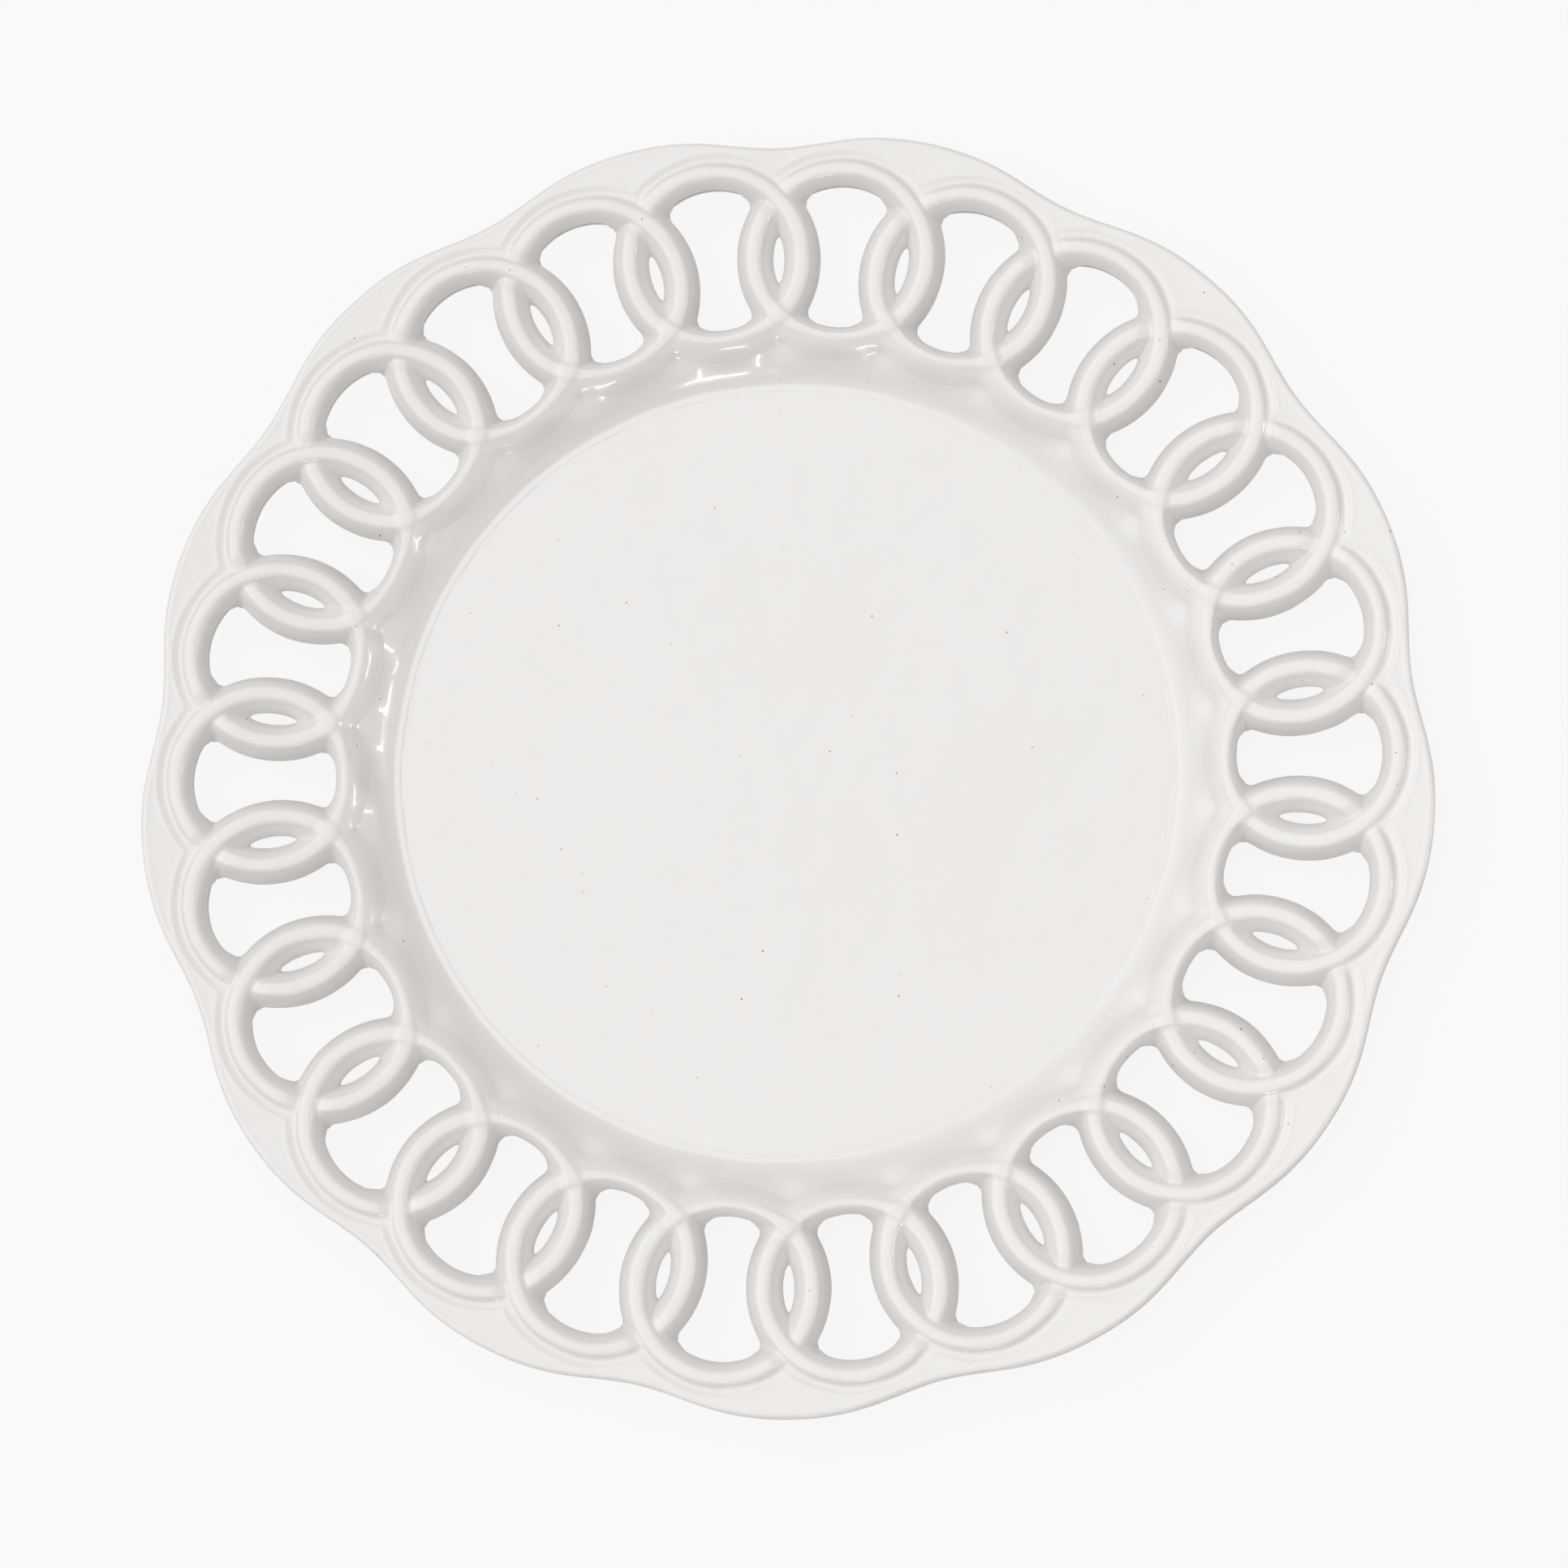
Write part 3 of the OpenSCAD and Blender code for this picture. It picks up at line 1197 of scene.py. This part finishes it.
@dataclass(frozen=True)
class GlazeFinish:
    """Glossy white glaze over a pale body, a little warmer where it pools, with painted warm shade
    in the creases and down the walls of the openings.
    """

    body: tuple[float, float, float] = (0.872, 0.86, 0.849)
    # Warm brown of glaze pooled in creases, used also as painted shade on the walls of the openings
    # and on the undersides.
    pooled_and_shade: tuple[float, float, float] = (0.7, 0.625, 0.58)
    speck: tuple[float, float, float] = (0.24, 0.17, 0.12)
    speck_rarity: float = 0.93
    speck_width: float = 0.036
    cloud_grain: float = 24 * MM
    cloud_strength: float = 0.16
    roughness: float = 0.16
    coat: float = 0.6
    coat_roughness: float = 0.05
    ior: float = 1.5
    pool_and_crease_shade: float = 0.08
    painted_wall_shade: float = 0.5

    def material(self, ripple: bpy.types.NodeTree, specks: bpy.types.NodeTree) -> bpy.types.Material:
        """Writes the material.

        Args:
            ripple: Shader group for the unevenness.
            specks: Shader group for the pinpricks.

        Returns:
            The material.
        """
        made = bpy.data.materials.new("white_glaze_finish")
        made.use_nodes = True
        tree = made.node_tree
        tree.nodes.clear()
        place = tree.nodes.new("ShaderNodeTexCoord").outputs["Object"]
        shader = tree.nodes.new("ShaderNodeBsdfPrincipled")
        set_sockets(shader, Coat_Weight=self.coat, Coat_Roughness=self.coat_roughness, IOR=self.ior)
        end = tree.nodes.new("ShaderNodeOutputMaterial")
        tree.links.new(shader.outputs[0], end.inputs["Surface"])

        def read(name: Attr) -> Num:
            """Reads a named number of the mesh."""
            node = tree.nodes.new("ShaderNodeAttribute")
            node.attribute_name = name.value
            return Num(tree, node.outputs["Fac"])

        cloud = tree.nodes.new("ShaderNodeTexNoise")
        tree.links.new(place, cloud.inputs["Vector"])
        set_sockets(cloud, Scale=1.0 / self.cloud_grain, Detail=3.0)
        tint = (Num(tree, cloud.outputs["Fac"]) - 0.5) * self.cloud_strength
        # Painted shade: the colour turns to the warm brown in the creases and down the walls of the
        # openings, with random tone from the cloud on top.
        pool = read(Attr.POOL) * self.pool_and_crease_shade
        depth = read(Attr.DEPTH)
        share = (pool + depth * depth * self.painted_wall_shade + tint).op("MULTIPLY", 1.0, clamp=True)
        blend = tree.nodes.new("ShaderNodeMix")
        blend.data_type = "RGBA"
        tree.links.new(share.socket, blend.inputs["Factor"])
        blend.inputs[6].default_value = (*self.body, 1.0)
        blend.inputs[7].default_value = (*self.pooled_and_shade, 1.0)
        spots = tree.nodes.new("ShaderNodeGroup")
        spots.node_tree = specks
        set_sockets(spots, Rarity=self.speck_rarity, Width=self.speck_width)
        tree.links.new(place, spots.inputs["Position"])
        dots = tree.nodes.new("ShaderNodeMix")
        dots.data_type = "RGBA"
        tree.links.new(spots.outputs["Mask"], dots.inputs["Factor"])
        tree.links.new(blend.outputs[2], dots.inputs[6])
        dots.inputs[7].default_value = (*self.speck, 1.0)
        tree.links.new(dots.outputs[2], shader.inputs["Base Color"])

        uneven = tree.nodes.new("ShaderNodeGroup")
        uneven.node_tree = ripple
        set_sockets(uneven, Grain=0.25, Wave=1.0, Turned=1.2)
        tree.links.new(place, uneven.inputs["Position"])
        bump = tree.nodes.new("ShaderNodeBump")
        set_sockets(bump, Strength=0.35, Distance=0.12 * MM)
        tree.links.new(uneven.outputs["Height"], bump.inputs["Height"])
        tree.links.new(bump.outputs[0], shader.inputs["Normal"])
        rough = Num(tree, uneven.outputs["Height"]) * 0.06 + self.roughness
        tree.links.new(rough.socket, shader.inputs["Roughness"])
        return made


@dataclass(frozen=True)
class ClayFinish:
    """Bare fired clay on the resting face of the foot, under a thin run of glaze at its sides."""

    clay: tuple[float, float, float] = (0.7, 0.63, 0.52)
    glazed: tuple[float, float, float] = (0.85, 0.845, 0.825)
    worn: tuple[float, float, float] = (0.52, 0.45, 0.36)
    bare_height: float = 0.9 * MM

    def material(self, ripple: bpy.types.NodeTree, specks: bpy.types.NodeTree) -> bpy.types.Material:
        """Writes the material.

        Args:
            ripple: Shader group for the unevenness.
            specks: Shader group for the pinpricks.

        Returns:
            The material.
        """
        made = bpy.data.materials.new("foot_clay_finish")
        made.use_nodes = True
        tree = made.node_tree
        tree.nodes.clear()
        place = tree.nodes.new("ShaderNodeTexCoord").outputs["Object"]
        shader = tree.nodes.new("ShaderNodeBsdfPrincipled")
        set_sockets(shader, IOR=1.5)
        end = tree.nodes.new("ShaderNodeOutputMaterial")
        tree.links.new(shader.outputs[0], end.inputs["Surface"])
        split = tree.nodes.new("ShaderNodeSeparateXYZ")
        tree.links.new(place, split.inputs[0])
        uneven = tree.nodes.new("ShaderNodeGroup")
        uneven.node_tree = ripple
        set_sockets(uneven, Grain=1.0, Wave=1.0)
        tree.links.new(place, uneven.inputs["Position"])
        ragged = Num(tree, uneven.outputs["Height"]) * (0.5 * MM)
        bare = (Num(tree, split.outputs["Z"]) + ragged).ramp(
            self.bare_height + 0.15 * MM, self.bare_height
        )
        wear = (Num(tree, uneven.outputs["Height"]) + 0.25).op("MULTIPLY", 1.0, clamp=True)
        earth = tree.nodes.new("ShaderNodeMix")
        earth.data_type = "RGBA"
        tree.links.new(wear.socket, earth.inputs["Factor"])
        earth.inputs[6].default_value = (*self.clay, 1.0)
        earth.inputs[7].default_value = (*self.worn, 1.0)
        blend = tree.nodes.new("ShaderNodeMix")
        blend.data_type = "RGBA"
        tree.links.new(bare.socket, blend.inputs["Factor"])
        blend.inputs[6].default_value = (*self.glazed, 1.0)
        tree.links.new(earth.outputs[2], blend.inputs[7])
        spots = tree.nodes.new("ShaderNodeGroup")
        spots.node_tree = specks
        set_sockets(spots, Rarity=0.6, Width=0.04)
        tree.links.new(place, spots.inputs["Position"])
        dots = tree.nodes.new("ShaderNodeMix")
        dots.data_type = "RGBA"
        tree.links.new(spots.outputs["Mask"], dots.inputs["Factor"])
        tree.links.new(blend.outputs[2], dots.inputs[6])
        dots.inputs[7].default_value = (*self.worn, 1.0)
        tree.links.new(dots.outputs[2], shader.inputs["Base Color"])
        rough = bare.mix(0.18, 0.85)
        tree.links.new(rough.socket, shader.inputs["Roughness"])
        bump = tree.nodes.new("ShaderNodeBump")
        set_sockets(bump, Strength=0.5, Distance=0.15 * MM)
        tree.links.new(uneven.outputs["Height"], bump.inputs["Height"])
        tree.links.new(bump.outputs[0], shader.inputs["Normal"])
        return made


@dataclass
class Studio:
    """Pale floor, soft lights and the camera high over the plate."""

    lens: float = 155.2
    sensor: float = 36.0
    tip: float = 0.1514
    swing: float = 0.0973
    plate_turn: float = math.radians(0.54)
    unit: float = 92.0 * MM
    distance: float = 12.99
    shift_x: float = -0.0012
    shift_y: float = 0.0316
    aim_height: float = 10.5 * MM
    floor_lift: float = 0.93
    dome_toward: tuple[float, float, float] = (-0.42, 0.17, 0.89)
    dome_focus: float = 5.0
    dome_peak: float = 2.12
    dome_base: float = 0.245
    dome_warmth: tuple[float, float, float] = (1.0, 0.945, 0.912)

    def camera(self) -> None:
        """Places the camera that sees the plate slightly from its lower right."""
        tilt = Matrix.Rotation(-self.tip, 3, "X") @ Matrix.Rotation(-self.swing, 3, "Y")
        back = tilt.transposed()
        place = back @ Vector((-self.shift_x, -self.shift_y, self.distance)) * self.unit
        place = place + Vector((0.0, 0.0, self.aim_height))
        turn = Matrix.Rotation(-self.plate_turn, 4, "Z")
        pose = turn @ (Matrix.Translation(place) @ back.to_4x4())
        data = bpy.data.cameras.new("studio_camera")
        data.lens, data.sensor_width = self.lens, self.sensor
        data.clip_start, data.clip_end = 0.05, 20.0
        made = bpy.data.objects.new("studio_camera", data)
        made.matrix_world = pose
        bpy.context.scene.collection.objects.link(made)
        bpy.context.scene.camera = made

    def soft_light(self, name: str, spot: Vector, size: tuple[float, float], power: float) -> None:
        """Hangs a soft rectangular light that faces the plate.

        Args:
            name: Name of the light.
            spot: Its place.
            size: Its width and height.
            power: Its power in watts.
        """
        data = bpy.data.lights.new(name, "AREA")
        data.shape, data.size, data.size_y = "RECTANGLE", size[0], size[1]
        data.energy = power
        data.color = (1.0, 0.995, 0.985)
        made = bpy.data.objects.new(name, data)
        made.location = spot
        made.rotation_mode = "QUATERNION"
        made.rotation_quaternion = (-spot).to_track_quat("-Z", "Y")
        bpy.context.scene.collection.objects.link(made)

    def floor(self) -> None:
        """Lays the plain pale floor under the plate, lit evenly to the eye."""
        bpy.ops.mesh.primitive_plane_add(size=3.0, location=(0.0, 0.0, -0.0001))
        made = bpy.context.object
        made.name = "studio_floor"
        paint = bpy.data.materials.new("studio_floor_paint")
        paint.use_nodes = True
        shader = paint.node_tree.nodes["Principled BSDF"]
        set_sockets(shader, Base_Color=(0.93, 0.93, 0.93, 1.0), Roughness=0.95)
        nodes, links = paint.node_tree.nodes, paint.node_tree.links
        glow = set_sockets(nodes.new("ShaderNodeEmission"), Color=(0.955, 0.955, 0.955, 1.0))
        seen = Num(paint.node_tree, nodes.new("ShaderNodeLightPath").outputs["Is Camera Ray"])
        blend = nodes.new("ShaderNodeMixShader")
        links.new((seen * self.floor_lift).socket, blend.inputs[0])
        links.new(shader.outputs[0], blend.inputs[1])
        links.new(glow.outputs[0], blend.inputs[2])
        links.new(blend.outputs[0], nodes["Material Output"].inputs["Surface"])
        made.data.materials.append(paint)

    def dome(self) -> None:
        """Spans the sky-like dome, white and bright high on the left, dim and warm elsewhere."""
        world = bpy.data.worlds.new("studio_dome")
        world.use_nodes = True
        tree = world.node_tree
        toward = tree.nodes.new("ShaderNodeVectorMath")
        toward.operation = "DOT_PRODUCT"
        tree.links.new(tree.nodes.new("ShaderNodeTexCoord").outputs["Generated"], toward.inputs[0])
        toward.inputs[1].default_value = Vector(self.dome_toward).normalized()
        facing = Num(tree, toward.outputs["Value"]).hard_max(0.0)
        share = facing.op("POWER", self.dome_focus)
        glow = share * self.dome_peak + self.dome_base
        hue = tree.nodes.new("ShaderNodeMix")
        hue.data_type = "RGBA"
        tree.links.new(share.op("MULTIPLY", 2.5, clamp=True).socket, hue.inputs["Factor"])
        hue.inputs[6].default_value = (*self.dome_warmth, 1.0)
        hue.inputs[7].default_value = (1.0, 1.0, 1.0, 1.0)
        shade = tree.nodes["Background"]
        tree.links.new(hue.outputs[2], shade.inputs["Color"])
        tree.links.new(glow.socket, shade.inputs["Strength"])
        bpy.context.scene.world = world

    def build(self) -> None:
        """Sets up the whole studio."""
        self.camera()
        self.floor()
        self.soft_light("fill_right", Vector((0.75, -0.2, 0.75)), (0.8, 0.8), 1.3)
        self.soft_light("glint_right", Vector((1.7, 0.1, 1.8)), (0.4, 0.08), 1.7)
        self.soft_light("glint_front", Vector((0.1, -1.6, 1.8)), (0.4, 0.08), 1.7)
        self.dome()
        bpy.context.scene.view_settings.view_transform = "Standard"


def main() -> None:
    """Builds the plate piece by piece in the loaded frame."""
    logging.basicConfig(level=logging.INFO, format="%(name)s %(message)s")
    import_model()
    sizes = PlateSizes()
    Studio().build()
    ripple, specks = ripple_group(), speck_group()
    glaze = GlazeFinish().material(ripple, specks)
    clay = ClayFinish().material(ripple, specks)
    surface = GlazeSurface(sizes).build()
    WellFloor(sizes, surface, glaze).build()
    WellCavetto(sizes, surface, glaze).build()
    ScallopedBorder(sizes, surface, glaze).build()
    RingChain(sizes, surface, glaze).build()
    FootRing(sizes, clay).build()


if __name__ == "__main__":
    main()
